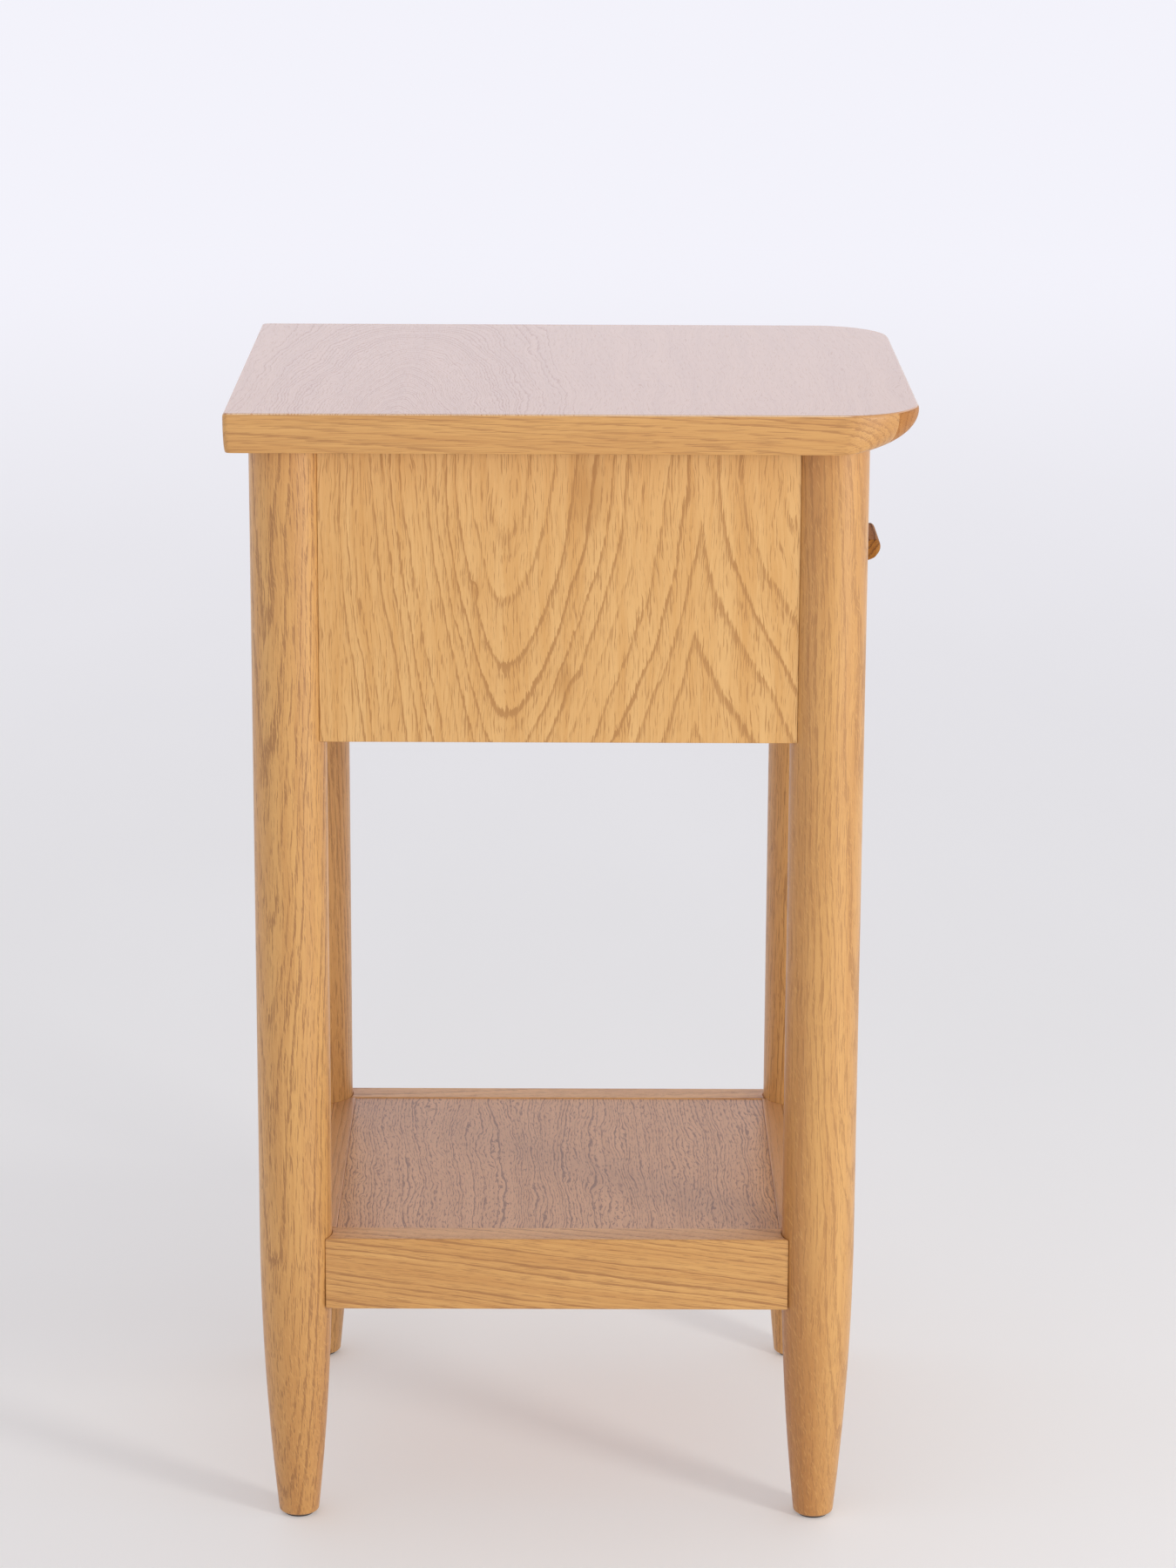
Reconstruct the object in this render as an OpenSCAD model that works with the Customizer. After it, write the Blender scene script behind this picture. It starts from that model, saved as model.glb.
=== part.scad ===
// Small side table with one drawer and an open shelf, in solid and veneered oak.
// Millimetres. +Z is up, the drawer faces -Y, and the origin is on the floor under the middle of the top.

/* [Overall] */
// Width of the top, side to side
table_w = 300; // [290:1:330]
// Depth of the top, front to back
table_d = 348; // [330:1:380]
// Height of the top surface above the floor
table_h = 600; // [560:1:640]

/* [Top] */
// Thickness of the top
top_t = 20; // [18:0.5:24]
// Plan radius of the two front corners
corner_r = 40; // [30:1:45]
// How far the curved underside of the front edge reaches back
front_bevel = 28; // [20:1:29]
// Width of the solid lippings at the front and the sides
lipping_w = 30; // [30:0.5:32]
// Width of the solid lipping at the back
back_lipping_w = 20; // [16:1:22]
// Thickness of the face veneer
veneer_t = 0.6; // [0.5:0.1:1]

/* [Legs] */
// Diameter of a leg
leg_d = 38; // [36:0.5:40]
// Diameter of the tapered foot at the floor
foot_d = 20.6; // [18:0.2:26]
// Height at which the foot's taper starts
taper_h = 160; // [130:1:170]
// Overhang of the top beyond the front legs
front_overhang = 24.5; // [22:0.5:28]
// Overhang of the top beyond the back legs
back_overhang = 10.5; // [8:0.5:14]
// Overhang of the top beyond the legs at each side
side_overhang = 16; // [14:0.5:17]

/* [Case] */
// Height of the side and back panels
case_h = 153; // [150:1:160]
// Thickness of a side panel
panel_t = 16; // [14:0.5:16]
// Thickness of the back panel
back_t = 12; // [10:0.5:12]
// Distance from a leg's outermost line to the outer face of a panel or rail
face_inset = 8; // [7:0.5:9]

/* [Shelf] */
// Height of the shelf rails' top edge above the floor
shelf_z = 158.5; // [140:0.5:200]
// Height of a shelf rail
shelf_rail_h = 39; // [34:0.5:44]
// Thickness of a side shelf rail
side_rail_t = 18; // [16:0.5:20]
// Thickness of the front and back shelf rails
end_rail_t = 20; // [18:0.5:22]
// Thickness of the shelf panel
shelf_t = 15; // [12:0.5:18]

/* [Drawer] */
// Thickness of the drawer front
drawer_front_t = 18; // [16:0.5:20]
// Thickness of the drawer's sides and back
drawer_side_t = 12; // [10:0.5:13]
// Thickness of the drawer bottom
drawer_bottom_t = 5; // [4:0.5:6]
// Width of the pull
pull_w = 48; // [40:1:80]
// How far the pull stands out from the drawer front
pull_out = 21; // [16:0.5:24]
// Height of the pull
pull_h = 11.5; // [10:0.5:16]

/* [Hidden] */
// Fineness of round shapes, and the clearances of glued joints and of moving pieces
$fn = 64;
fit = 0.1;
slip = 0.3;

// The top's edge: height of its fullest line below the surface, and the insets above and below it
nose = 2.5;
arris_side = 1;
arris_front = 1.5;
pillow = 1.2;
back_corner_r = 3;
top_low = table_h - top_t;

// Legs
leg_r = leg_d / 2;
foot_r = foot_d / 2;
foot_edge = 1.8;
glide_t = 1.5;
glide_r = 8;
glide_pin_r = 1.2;
glide_pin_h = 12;
leg_x = table_w / 2 - side_overhang - leg_r;
leg_y_front = -table_d / 2 + front_overhang + leg_r;
leg_y_back = table_d / 2 - back_overhang - leg_r;
leg_dowel_r = 4;
leg_dowel_h = 28;

// Faces of the case and the shelf frame
face_x = leg_x + leg_r - face_inset;
face_y_front = leg_y_front - leg_r + face_inset;
face_y_back = leg_y_back + leg_r - face_inset;
panel_in_x = face_x - panel_t;
back_in_y = face_y_back - back_t;
case_low = top_low - case_h;
tongue_t = 6;
back_tongue_t = 5;
tongue_inset = 8;
tongue_reach = 9;
tenon_t = 8;
tenon_h = 24;
tenon_reach = 6;

// Shelf
shelf_in_x = face_x - side_rail_t;
shelf_recess = 0.5;
shelf_lip_front_w = 11;
shelf_lip_back_w = 12;
shelf_y_front = face_y_front + end_rail_t + shelf_lip_front_w;
shelf_y_back = face_y_back - end_rail_t - shelf_lip_back_w;
shelf_tongue = 6;
shelf_tongue_t = 7;

// Drawer front and box
front_gap = 1.5;
drawer_front_x = leg_x - leg_r - 1;
drawer_front_low = case_low + front_gap;
drawer_front_high = top_low - front_gap;
drawer_front_back_y = face_y_front + drawer_front_t;
box_x = drawer_front_x - 0.5;
box_in_x = box_x - drawer_side_t;
box_low = case_low + 19;
box_high = top_low - 24;
box_back_y = back_in_y - 15.5;
groove_depth = 5;
groove_low = box_low + 5;
bottom_high = groove_low + drawer_bottom_t;
back_housing = 4;
tails = 3;
tail_depth = 12;
tail_root = 16;
tail_tip = 22;

// Rails and runners inside the case
front_rail_t = 18;
front_rail_y = drawer_front_back_y + 1;
low_rail_h = 17.5;
top_rail_h = 18;
runner_in_x = box_in_x + 1;
runner_h = 12;
runner_front_y = front_rail_y + front_rail_t;
guide_in_x = box_x + 0.8;
guide_back_y = leg_y_back - leg_r - 2;
guide_h = 20;
kicker_in_x = box_x - 4.5;
kicker_h = top_low - box_high - 0.8;
stop_w = 12;
stop_h = 24;

// Screws: shank and head radii, and head thickness
screw_r = 2;
screw_head_r = 4;
screw_head_t = 2;
small_screw_r = 1.5;
small_head_r = 3;

// Pull
pull_z = case_low + 79.7;
pull_nose = 4;
pull_arris = 2.5;
pull_bevel = 10.5;
pull_end_r = 2.5;
pull_screw_x = pull_w / 4;
pull_screw_bite = 14;

honey = "#d8a368";
panel_oak = "#deb074";
rail_oak = "#c99a5b";
shelf_oak = "#b49182";
box_wood = "#e3c79b";
steel = "#b9bbbd";
dark = "#4a4440";

// ---- Helpers ----

// A box between two corners
module block(low, high) {
  translate(low) cube(high - low);
}

// The shape given for the right side, on the right or on the left
module on_side(side) {
  if (side == "right") children();
  else mirror([1, 0, 0]) children();
}

// An outline in (y, z) stretched along x from x0 to x1
module along_x(x0, x1) {
  translate([x0, 0, 0]) rotate([90, 0, 90]) linear_extrude(x1 - x0) children();
}

// A horizontal round bar along x from x0 to x1
module bar_x(x0, x1, y, z, r) {
  translate([x0, y, z]) rotate([0, 90, 0]) cylinder(h = x1 - x0, r = r);
}

// A horizontal round bar along y from y0 to y1
module bar_y(y0, y1, x, z, r) {
  translate([x, y0, z]) rotate([-90, 0, 0]) cylinder(h = y1 - y0, r = r);
}

// Steps down a moulded edge of thickness t with its fullest line n below the top:
// [depth below the top, share of the upper inset, share of the lower inset]
function edge_steps(t, n) = concat(
  [for (a = [90:-22.5:22.5]) [n * (1 - sin(a)), 1 - cos(a), 0]],
  [for (a = [0:10:90]) [n + (t - n) * sin(a), 0, 1 - cos(a)]]
);

// The top's outline at one step of its edge
function top_ring(step) =
  let (
    side = arris_side * step[1] + pillow * step[2],
    front = arris_front * step[1] + front_bevel * step[2],
    x = table_w / 2 - side,
    y_back = table_d / 2 - side,
    y_front = table_d / 2 - front,
    rx = corner_r - side,
    ry = corner_r - front,
    rb = back_corner_r
  )
  concat(
    [for (a = [0:7.5:90]) [-x + rx * (1 - cos(a)), -y_front + ry * (1 - sin(a))]],
    [for (a = [0:7.5:90]) [x - rx * (1 - sin(a)), -y_front + ry * (1 - cos(a))]],
    [for (a = [0:22.5:90]) [x - rb * (1 - cos(a)), y_back - rb * (1 - sin(a))]],
    [for (a = [0:22.5:90]) [-x + rb * (1 - sin(a)), y_back - rb * (1 - cos(a))]]
  );

// The whole top as one smooth form, lofted ring by ring from its underside up
module top_form() {
  steps = edge_steps(top_t, nose);
  last = len(steps) - 1;
  rings = [for (i = [0:last]) top_ring(steps[last - i])];
  n = len(rings[0]);
  points = [for (i = [0:last]) for (p = rings[i]) [p[0], p[1], table_h - steps[last - i][0]]];
  walls = [for (i = [0:last - 1]) for (j = [0:n - 1])
    [i * n + j, (i + 1) * n + j, (i + 1) * n + (j + 1) % n, i * n + (j + 1) % n]];
  bottom = [for (j = [0:n - 1]) j];
  cap = [for (j = [n - 1:-1:0]) last * n + j];
  polyhedron(points, concat([bottom], walls, [cap]));
}

// The part of the top, under the veneer, inside a plan outline
module top_piece(plan) {
  intersection() {
    top_form();
    translate([0, 0, top_low - 1]) linear_extrude(top_t + 1 - veneer_t) polygon(plan);
  }
}

// Radius of a leg at height z: a parabola from the foot up to where the taper starts
function leg_radius(z) = leg_r - (leg_r - foot_r) * pow(max(0, 1 - z / taper_h), 2);

// One plain leg standing at the origin, without its joints
module leg_blank() {
  start = glide_t + foot_edge;
  rotate_extrude($fn = 96) polygon(concat(
    [[0, glide_t]],
    [for (a = [0:22.5:67.5]) [leg_radius(start) - foot_edge * (1 - sin(a)), start - foot_edge * cos(a)]],
    [for (i = [0:14]) let (z = start + (taper_h - start) * i / 14) [leg_radius(z), z]],
    [[leg_r, top_low], [0, top_low]]
  ));
}

// The space taken by both right-hand legs, with a glue gap, used to cope what meets them
module leg_space() {
  for (y = [leg_y_front, leg_y_back])
    translate([leg_x, y, 0]) cylinder(h = table_h, r = leg_r + fit, $fn = 96);
}

// The same on both sides
module all_leg_space() {
  leg_space();
  mirror([1, 0, 0]) leg_space();
}

// ---- Tongues and tenons, drawn once for the piece and once, with a glue gap, for its mortise ----

// Tongues of the right side panel
module side_tongues(g = 0) {
  x = face_x - panel_t / 2;
  y0 = leg_y_front + tongue_reach;
  y1 = leg_y_back - tongue_reach;
  block([x - tongue_t / 2 - g, y0 - g, case_low + tongue_inset - g],
        [x + tongue_t / 2 + g, y1 + g, top_low - tongue_inset + g]);
}

// Tongues of the back panel
module back_tongues(g = 0) {
  y = face_y_back - back_t / 2;
  x = leg_x - tongue_reach;
  block([-x - g, y - back_tongue_t / 2 - g, case_low + tongue_inset - g],
        [x + g, y + back_tongue_t / 2 + g, top_low - tongue_inset + g]);
}

// Tenons of the right shelf rail
module side_rail_tenons(g = 0) {
  x = face_x - side_rail_t / 2;
  z = shelf_z - shelf_rail_h / 2;
  block([x - tenon_t / 2 - g, leg_y_front + tenon_reach - g, z - tenon_h / 2 - g],
        [x + tenon_t / 2 + g, leg_y_back - tenon_reach + g, z + tenon_h / 2 + g]);
}

// Tenons of a shelf rail that runs from leg to leg at depth y
module end_rail_tenons(y, g = 0) {
  x = leg_x - tenon_reach;
  z = shelf_z - shelf_rail_h / 2;
  block([-x - g, y - tenon_t / 2 - g, z - tenon_h / 2 - g],
        [x + g, y + tenon_t / 2 + g, z + tenon_h / 2 + g]);
}

end_rail_y_front = face_y_front + end_rail_t / 2;
end_rail_y_back = face_y_back - end_rail_t / 2;

// ---- Top ----

module top_core() {
  color(rail_oak) difference() {
    block([-table_w / 2 + lipping_w, -table_d / 2 + lipping_w, top_low],
          [table_w / 2 - lipping_w, table_d / 2 - back_lipping_w, table_h - veneer_t]);
    dowels(fit);
    screws_up(fit);
  }
}

module top_veneer() {
  color(shelf_oak) translate([0, 0, table_h - veneer_t])
    linear_extrude(veneer_t) polygon(top_ring(edge_steps(top_t, nose)[0]));
}

module top_lipping_front() {
  x = table_w / 2;
  y = table_d / 2;
  color(honey) top_piece([
    [-x - 1, -y - 1], [x + 1, -y - 1],
    [x - lipping_w, -y + lipping_w], [-x + lipping_w, -y + lipping_w]
  ]);
}

module top_lipping_back() {
  x = table_w / 2 - lipping_w;
  y = table_d / 2;
  color(honey) top_piece([[-x, y - back_lipping_w], [x, y - back_lipping_w], [x, y + 1], [-x, y + 1]]);
}

module top_lipping(side) {
  x = table_w / 2;
  y = table_d / 2;
  color(honey) on_side(side) top_piece([
    [x + 1, -y - 1], [x + 1, y + 1],
    [x - lipping_w, y + 1], [x - lipping_w, -y + lipping_w]
  ]);
}

// ---- Legs ----

module leg(side, y) {
  color(honey) on_side(side) difference() {
    translate([leg_x, y, 0]) leg_blank();
    side_tongues(fit);
    side_rail_tenons(fit);
    if (y > 0) back_tongues(fit);
    end_rail_tenons(y > 0 ? end_rail_y_back : end_rail_y_front, fit);
    dowels(fit);
    glides(fit);
  }
}

// The dowels that join the legs to the top
module dowels(g = 0) {
  for (x = [-leg_x, leg_x], y = [leg_y_front, leg_y_back])
    translate([x, y, top_low - leg_dowel_h / 2 - g]) cylinder(h = leg_dowel_h + 2 * g, r = leg_dowel_r + g);
}

module leg_dowels() {
  color(box_wood) dowels();
}

// The glides under the feet, each a disc with a pin that is driven into the leg
module glides(g = 0) {
  for (x = [-leg_x, leg_x], y = [leg_y_front, leg_y_back]) translate([x, y, 0]) {
    cylinder(h = glide_t, r = glide_r);
    cylinder(h = glide_t + glide_pin_h + g, r = glide_pin_r + g);
  }
}

module foot_glides() {
  color(dark) glides();
}

// ---- Case ----

module side_panel(side) {
  color(panel_oak) on_side(side) difference() {
    union() {
      difference() {
        block([panel_in_x, leg_y_front, case_low], [face_x, leg_y_back, top_low - fit]);
        leg_space();
      }
      side_tongues();
    }
    runner_fixings(fit);
  }
}

module back_panel() {
  color(panel_oak) union() {
    difference() {
      block([-leg_x, back_in_y, case_low], [leg_x, face_y_back, top_low - fit]);
      all_leg_space();
    }
    back_tongues();
  }
}

// A rail behind the drawer front, from side panel to side panel, between heights z0 and z1
module front_rail(z0, z1) {
  x = panel_in_x - fit;
  color(rail_oak) difference() {
    block([-x, front_rail_y, z0], [x, front_rail_y + front_rail_t, z1]);
    all_leg_space();
  }
}

module front_top_rail() {
  front_rail(top_low - top_rail_h, top_low - fit);
}

module front_bottom_rail() {
  front_rail(case_low, case_low + low_rail_h);
}

module drawer_runner(side) {
  color(rail_oak) on_side(side) difference() {
    block([runner_in_x, runner_front_y + fit, box_low - slip - runner_h],
          [panel_in_x - fit, back_in_y - fit, box_low - slip]);
    leg_space();
    runner_fixings(fit);
  }
}

module drawer_guide(side) {
  color(rail_oak) on_side(side) difference() {
    block([guide_in_x, runner_front_y + fit, box_low],
          [panel_in_x - fit, guide_back_y, box_low + guide_h]);
    runner_fixings(fit);
  }
}

module drawer_kicker(side) {
  color(rail_oak) on_side(side) difference() {
    block([kicker_in_x, runner_front_y + fit, top_low - kicker_h],
          [panel_in_x - fit, back_in_y - fit, top_low - fit]);
    leg_space();
    screws_up(fit);
  }
}

// Blocks that the drawer's back meets when it is shut
module drawer_stops() {
  color(rail_oak) for (side = ["left", "right"]) on_side(side)
    block([runner_in_x, box_back_y + slip, box_low],
          [runner_in_x + stop_w, back_in_y - fit, box_low + stop_h]);
}

// Screws that rise through the kickers into the top; with a gap they are also the holes and counterbores
module screws_up(g = 0) {
  x = (kicker_in_x + panel_in_x) / 2;
  z = top_low - kicker_h + 6;
  for (sx = [-x, x], y = [-80, 15, 110]) translate([sx, y, 0]) {
    translate([0, 0, z]) cylinder(h = kicker_h + 4 + g, r = screw_r + g);
    translate([0, 0, z - (g > 0 ? 7 : 0)]) cylinder(h = screw_head_t + (g > 0 ? 7 : 0) + g, r = screw_head_r + g);
  }
}

module top_screws() {
  color(steel) screws_up();
}

// Screws on the right that hold the guide and the runner to the side panel, or their holes and counterbores
module runner_fixings(g = 0) {
  heads = [[guide_in_x + 2, box_low + guide_h / 2], [runner_in_x + 10, box_low - slip - runner_h / 2]];
  for (y = [-60, 75], h = heads) {
    bar_x(h[0], panel_in_x + 10 + g, y, h[1], screw_r + g);
    bar_x(h[0] - (g > 0 ? 12 : 0), h[0] + screw_head_t + g, y, h[1], screw_head_r + g);
  }
}

module runner_screws() {
  color(steel) for (side = ["left", "right"]) on_side(side) runner_fixings();
}

// ---- Shelf ----

module shelf_rail_side(side) {
  low = shelf_z - shelf_rail_h;
  color(rail_oak) on_side(side) difference() {
    union() {
      difference() {
        block([shelf_in_x, leg_y_front, low], [face_x, leg_y_back, shelf_z]);
        leg_space();
      }
      side_rail_tenons();
    }
    shelf_tongues(fit);
  }
}

module shelf_rail_end(y) {
  low = shelf_z - shelf_rail_h;
  color(rail_oak) union() {
    difference() {
      block([-leg_x, y - end_rail_t / 2, low], [leg_x, y + end_rail_t / 2, shelf_z]);
      all_leg_space();
    }
    end_rail_tenons(y);
  }
}

// A strip between a shelf rail and the panel, from y0 to y1
module shelf_lipping(y0, y1) {
  x = shelf_in_x - fit;
  color(rail_oak) difference() {
    block([-x, y0, shelf_z - shelf_t - shelf_recess], [x, y1, shelf_z]);
    all_leg_space();
  }
}

module shelf_lipping_front() {
  shelf_lipping(face_y_front + end_rail_t, shelf_y_front);
}

module shelf_lipping_back() {
  shelf_lipping(shelf_y_back, face_y_back - end_rail_t);
}

// Tongues along the sides of the shelf panel
module shelf_tongues(g = 0) {
  x = shelf_in_x + shelf_tongue;
  z = shelf_z - shelf_recess - shelf_t / 2;
  block([-x - g, shelf_y_front - g, z - shelf_tongue_t / 2 - g],
        [x + g, shelf_y_back + g, z + shelf_tongue_t / 2 + g]);
}

module shelf_panel() {
  high = shelf_z - shelf_recess;
  x = shelf_in_x - fit;
  color(shelf_oak) union() {
    block([-x, shelf_y_front, high - shelf_t], [x, shelf_y_back, high]);
    shelf_tongues();
  }
}

// ---- Drawer ----

// The dovetails of a drawer side, as points in (y, z), bottom one first
function tail_points() =
  let (pitch = (box_high - box_low) / tails)
  [for (i = [0:tails - 1]) let (z = box_low + (i + 0.5) * pitch) each [
    [drawer_front_back_y, z - tail_root / 2],
    [drawer_front_back_y - tail_depth, z - tail_tip / 2],
    [drawer_front_back_y - tail_depth, z + tail_tip / 2],
    [drawer_front_back_y, z + tail_root / 2]
  ]];

// The sockets that the right-hand dovetails fit, cut into the drawer front
module tail_sockets() {
  pts = tail_points();
  for (i = [0:tails - 1]) along_x(box_in_x - fit, drawer_front_x + 1)
    offset(delta = fit) polygon([for (j = [0:3]) pts[i * 4 + j]]);
}

module drawer_front() {
  color(honey) difference() {
    block([-drawer_front_x, face_y_front, drawer_front_low],
          [drawer_front_x, drawer_front_back_y, drawer_front_high]);
    for (side = ["left", "right"]) on_side(side) tail_sockets();
    bottom_board(fit);
    pull_fixings(fit);
  }
}

module drawer_side(side) {
  outline = concat(
    [[box_back_y, box_low], [drawer_front_back_y + fit, box_low]],
    [for (p = tail_points()) [p[0] + (p[0] == drawer_front_back_y ? fit : 0), p[1]]],
    [[drawer_front_back_y + fit, box_high], [box_back_y, box_high]]
  );
  color(box_wood) on_side(side) difference() {
    along_x(box_in_x, box_x) polygon(outline);
    bottom_board(fit);
    back_board(fit);
  }
}

// The drawer's back, housed in the ends of its sides and standing on the bottom
module back_board(g = 0) {
  x = box_in_x + back_housing;
  block([-x - g, box_back_y - drawer_side_t - g, bottom_high + fit - g], [x + g, box_back_y + g, box_high + g]);
}

module drawer_back() {
  color(box_wood) difference() {
    back_board();
    bottom_fixings(fit);
  }
}

// The drawer's bottom, held in grooves on three sides
module bottom_board(g = 0) {
  x = box_in_x + groove_depth;
  block([-x - g, drawer_front_back_y - groove_depth - g, groove_low - g], [x + g, box_back_y + g, bottom_high + g]);
}

module drawer_bottom() {
  color(box_wood) difference() {
    bottom_board();
    bottom_fixings(fit);
  }
}

// Small screws that rise through the bottom into the drawer's back
module bottom_fixings(g = 0) {
  for (x = [-50, 0, 50]) translate([x, box_back_y - drawer_side_t / 2, groove_low]) {
    translate([0, 0, -g]) cylinder(h = 20 + 2 * g, r = small_screw_r + g);
    translate([0, 0, -g]) cylinder(h = screw_head_t + 2 * g, r = small_head_r + g);
  }
}

module drawer_bottom_screws() {
  color(steel) bottom_fixings();
}

// A short bar with a flat top and a curved underside, like the top's own front edge
module drawer_pull() {
  y = face_y_front - pull_out;
  high = pull_z + pull_h / 2;
  outline = concat(
    [for (s = edge_steps(pull_h, pull_nose)) [y + pull_arris * s[1] + pull_bevel * s[2], high - s[0]]],
    [[face_y_front, high - pull_h], [face_y_front, high]]
  );
  color(honey) difference() {
    intersection() {
      along_x(-pull_w / 2, pull_w / 2) polygon(outline);
      translate([0, 0, pull_z - pull_h]) linear_extrude(2 * pull_h) pull_plan();
    }
    pull_fixings(fit);
  }
}

// The pull seen from above, with softened front corners
module pull_plan() {
  x = pull_w / 2;
  y = face_y_front - pull_out;
  polygon(concat(
    [[x, face_y_front], [-x, face_y_front]],
    [for (a = [0:15:90]) [-x + pull_end_r * (1 - cos(a)), y + pull_end_r * (1 - sin(a))]],
    [for (a = [90:-15:0]) [x - pull_end_r * (1 - cos(a)), y + pull_end_r * (1 - sin(a))]]
  ));
}

// Screws through the drawer front into the pull
module pull_fixings(g = 0) {
  for (x = [-pull_screw_x, pull_screw_x]) {
    bar_y(face_y_front - pull_screw_bite - g, drawer_front_back_y, x, pull_z, screw_r + g);
    bar_y(drawer_front_back_y, drawer_front_back_y + screw_head_t, x, pull_z, screw_head_r);
  }
}

module pull_screws() {
  color(steel) pull_fixings();
}

top_core();
top_veneer();
top_lipping_front();
top_lipping_back();
top_lipping("left");  // top_lipping_left
top_lipping("right");  // top_lipping_right
leg("left", leg_y_front);  // leg_front_left
leg("right", leg_y_front);  // leg_front_right
leg("left", leg_y_back);  // leg_back_left
leg("right", leg_y_back);  // leg_back_right
leg_dowels();
foot_glides();
side_panel("left");  // side_panel_left
side_panel("right");  // side_panel_right
back_panel();
front_top_rail();
front_bottom_rail();
drawer_runner("left");  // drawer_runner_left
drawer_runner("right");  // drawer_runner_right
drawer_guide("left");  // drawer_guide_left
drawer_guide("right");  // drawer_guide_right
drawer_kicker("left");  // drawer_kicker_left
drawer_kicker("right");  // drawer_kicker_right
drawer_stops();
top_screws();
runner_screws();
shelf_rail_side("left");  // shelf_rail_left
shelf_rail_side("right");  // shelf_rail_right
shelf_rail_end(end_rail_y_front);  // shelf_rail_front
shelf_rail_end(end_rail_y_back);  // shelf_rail_back
shelf_lipping_front();
shelf_lipping_back();
shelf_panel();
drawer_front();
drawer_side("left");  // drawer_side_left
drawer_side("right");  // drawer_side_right
drawer_back();
drawer_bottom();
drawer_pull();
pull_screws();
drawer_bottom_screws();
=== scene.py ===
"""The looks of an oak side table with one drawer: finished meshes and wood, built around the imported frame."""

import math

import bmesh
import bpy
from mathutils import Matrix, Vector


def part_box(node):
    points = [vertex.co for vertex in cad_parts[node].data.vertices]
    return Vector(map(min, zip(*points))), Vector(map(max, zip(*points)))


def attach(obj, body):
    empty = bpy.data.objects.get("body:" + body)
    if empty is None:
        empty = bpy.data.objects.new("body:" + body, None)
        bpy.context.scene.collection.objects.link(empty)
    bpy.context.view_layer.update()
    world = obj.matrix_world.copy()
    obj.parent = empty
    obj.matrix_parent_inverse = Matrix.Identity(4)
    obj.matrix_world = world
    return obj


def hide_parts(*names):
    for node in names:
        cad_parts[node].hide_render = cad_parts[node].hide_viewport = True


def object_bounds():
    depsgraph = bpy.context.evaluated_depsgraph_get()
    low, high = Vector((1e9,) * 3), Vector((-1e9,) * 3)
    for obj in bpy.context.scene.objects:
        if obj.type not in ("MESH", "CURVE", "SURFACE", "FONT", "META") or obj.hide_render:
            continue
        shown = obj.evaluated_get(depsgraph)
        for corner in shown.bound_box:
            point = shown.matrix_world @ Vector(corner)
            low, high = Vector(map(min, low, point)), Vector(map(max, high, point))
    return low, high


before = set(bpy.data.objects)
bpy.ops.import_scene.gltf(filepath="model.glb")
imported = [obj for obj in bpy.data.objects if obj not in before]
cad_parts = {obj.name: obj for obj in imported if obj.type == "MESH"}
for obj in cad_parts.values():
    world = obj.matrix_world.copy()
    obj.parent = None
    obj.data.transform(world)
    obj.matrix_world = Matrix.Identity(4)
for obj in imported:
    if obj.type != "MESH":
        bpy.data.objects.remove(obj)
cad_low, cad_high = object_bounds()

MM = 0.001

# ---- Camera ----

CAMERA_PLACE = (-2.32765, 0.003124, 0.972375)
CAMERA_LENS = 102.2
CAMERA_SENSOR = 36
CAMERA_PITCH = math.radians(14.442)
CAMERA_YAW = math.radians(-0.294)
CAMERA_ROLL = math.radians(0.27)

# ---- Shapes that the frame's boxes don't give, in metres ----

VENEER_T = 0.6 * MM
LIPPING_W = 30 * MM
BACK_LIPPING_W = 20 * MM
TOP_NOSE = 2.5 * MM
TOP_ARRIS = 1 * MM
TOP_FRONT_ARRIS = 1.5 * MM
TOP_PILLOW = 1.2 * MM
TOP_BEVEL = 28 * MM
TOP_CORNER_R = 40 * MM
TOP_BACK_CORNER_R = 3 * MM
TAPER_H = 160 * MM
FOOT_R = 10.3 * MM
FOOT_EDGE = 1.8 * MM
LEG_TOP_EDGE = 0.3 * MM
COPE_GAP = 0.15 * MM
PULL_NOSE = 4 * MM
PULL_ARRIS = 2.5 * MM
PULL_BEVEL = 10.5 * MM
PULL_END = 1.2 * MM
PULL_CORNER_R = 2.5 * MM
PULL_BACK_CORNER_R = 0.1 * MM
GLIDE_R = 8 * MM
GLIDE_EDGE = 0.5 * MM
SHELF_TONGUE = 5.9 * MM
STOP_W = 12 * MM
PLY_LAYERS = 5
TAILS = 3
TAIL_DEPTH = 12 * MM
TAIL_ROOT = 16 * MM
TAIL_TIP = 22 * MM
SEAM = 0.04 * MM
SOCKET_PLAY = 0.06 * MM
GROOVE_PLAY = 0.1 * MM
PULL_SCREW_HEAD_R = 4 * MM
PULL_SCREW_SHANK_R = 2 * MM
BOTTOM_SCREW_HEAD_R = 3 * MM
BOTTOM_SCREW_HEAD_T = 2 * MM
BOTTOM_SCREW_SHANK_R = 1.5 * MM

# ---- Rounded edges ----

LIPPING_ARRIS = 0.12 * MM
PLY_ARRIS = 0.2 * MM
SHELF_ARRIS = 0.3 * MM
PANEL_ARRIS = 0.5 * MM
DRAWER_BACK_ARRIS = 0.6 * MM
RAIL_ARRIS = 0.7 * MM
BEECH_ARRIS = 0.8 * MM

# ---- Mesh tolerances ----

MERGE_DISTANCE = 1e-7
SMALLEST_R = 0.02 * MM
SHARP_ANGLE = math.radians(35)
COPE_STEP = math.radians(6)

# ---- How many steps a curve has ----

CORNER_STEPS = 16
BACK_CORNER_STEPS = 4
FOOT_STEPS = 6
TAPER_STEPS = 28
SHAFT_STEPS = 14
GLIDE_STEPS = 4
DOME_STEPS = 6
LEG_SEGMENTS = 96
GLIDE_SEGMENTS = 48
SCREW_SEGMENTS = 32
FLOOR_SEGMENTS = 128


# ---- Mesh helpers ----

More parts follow.
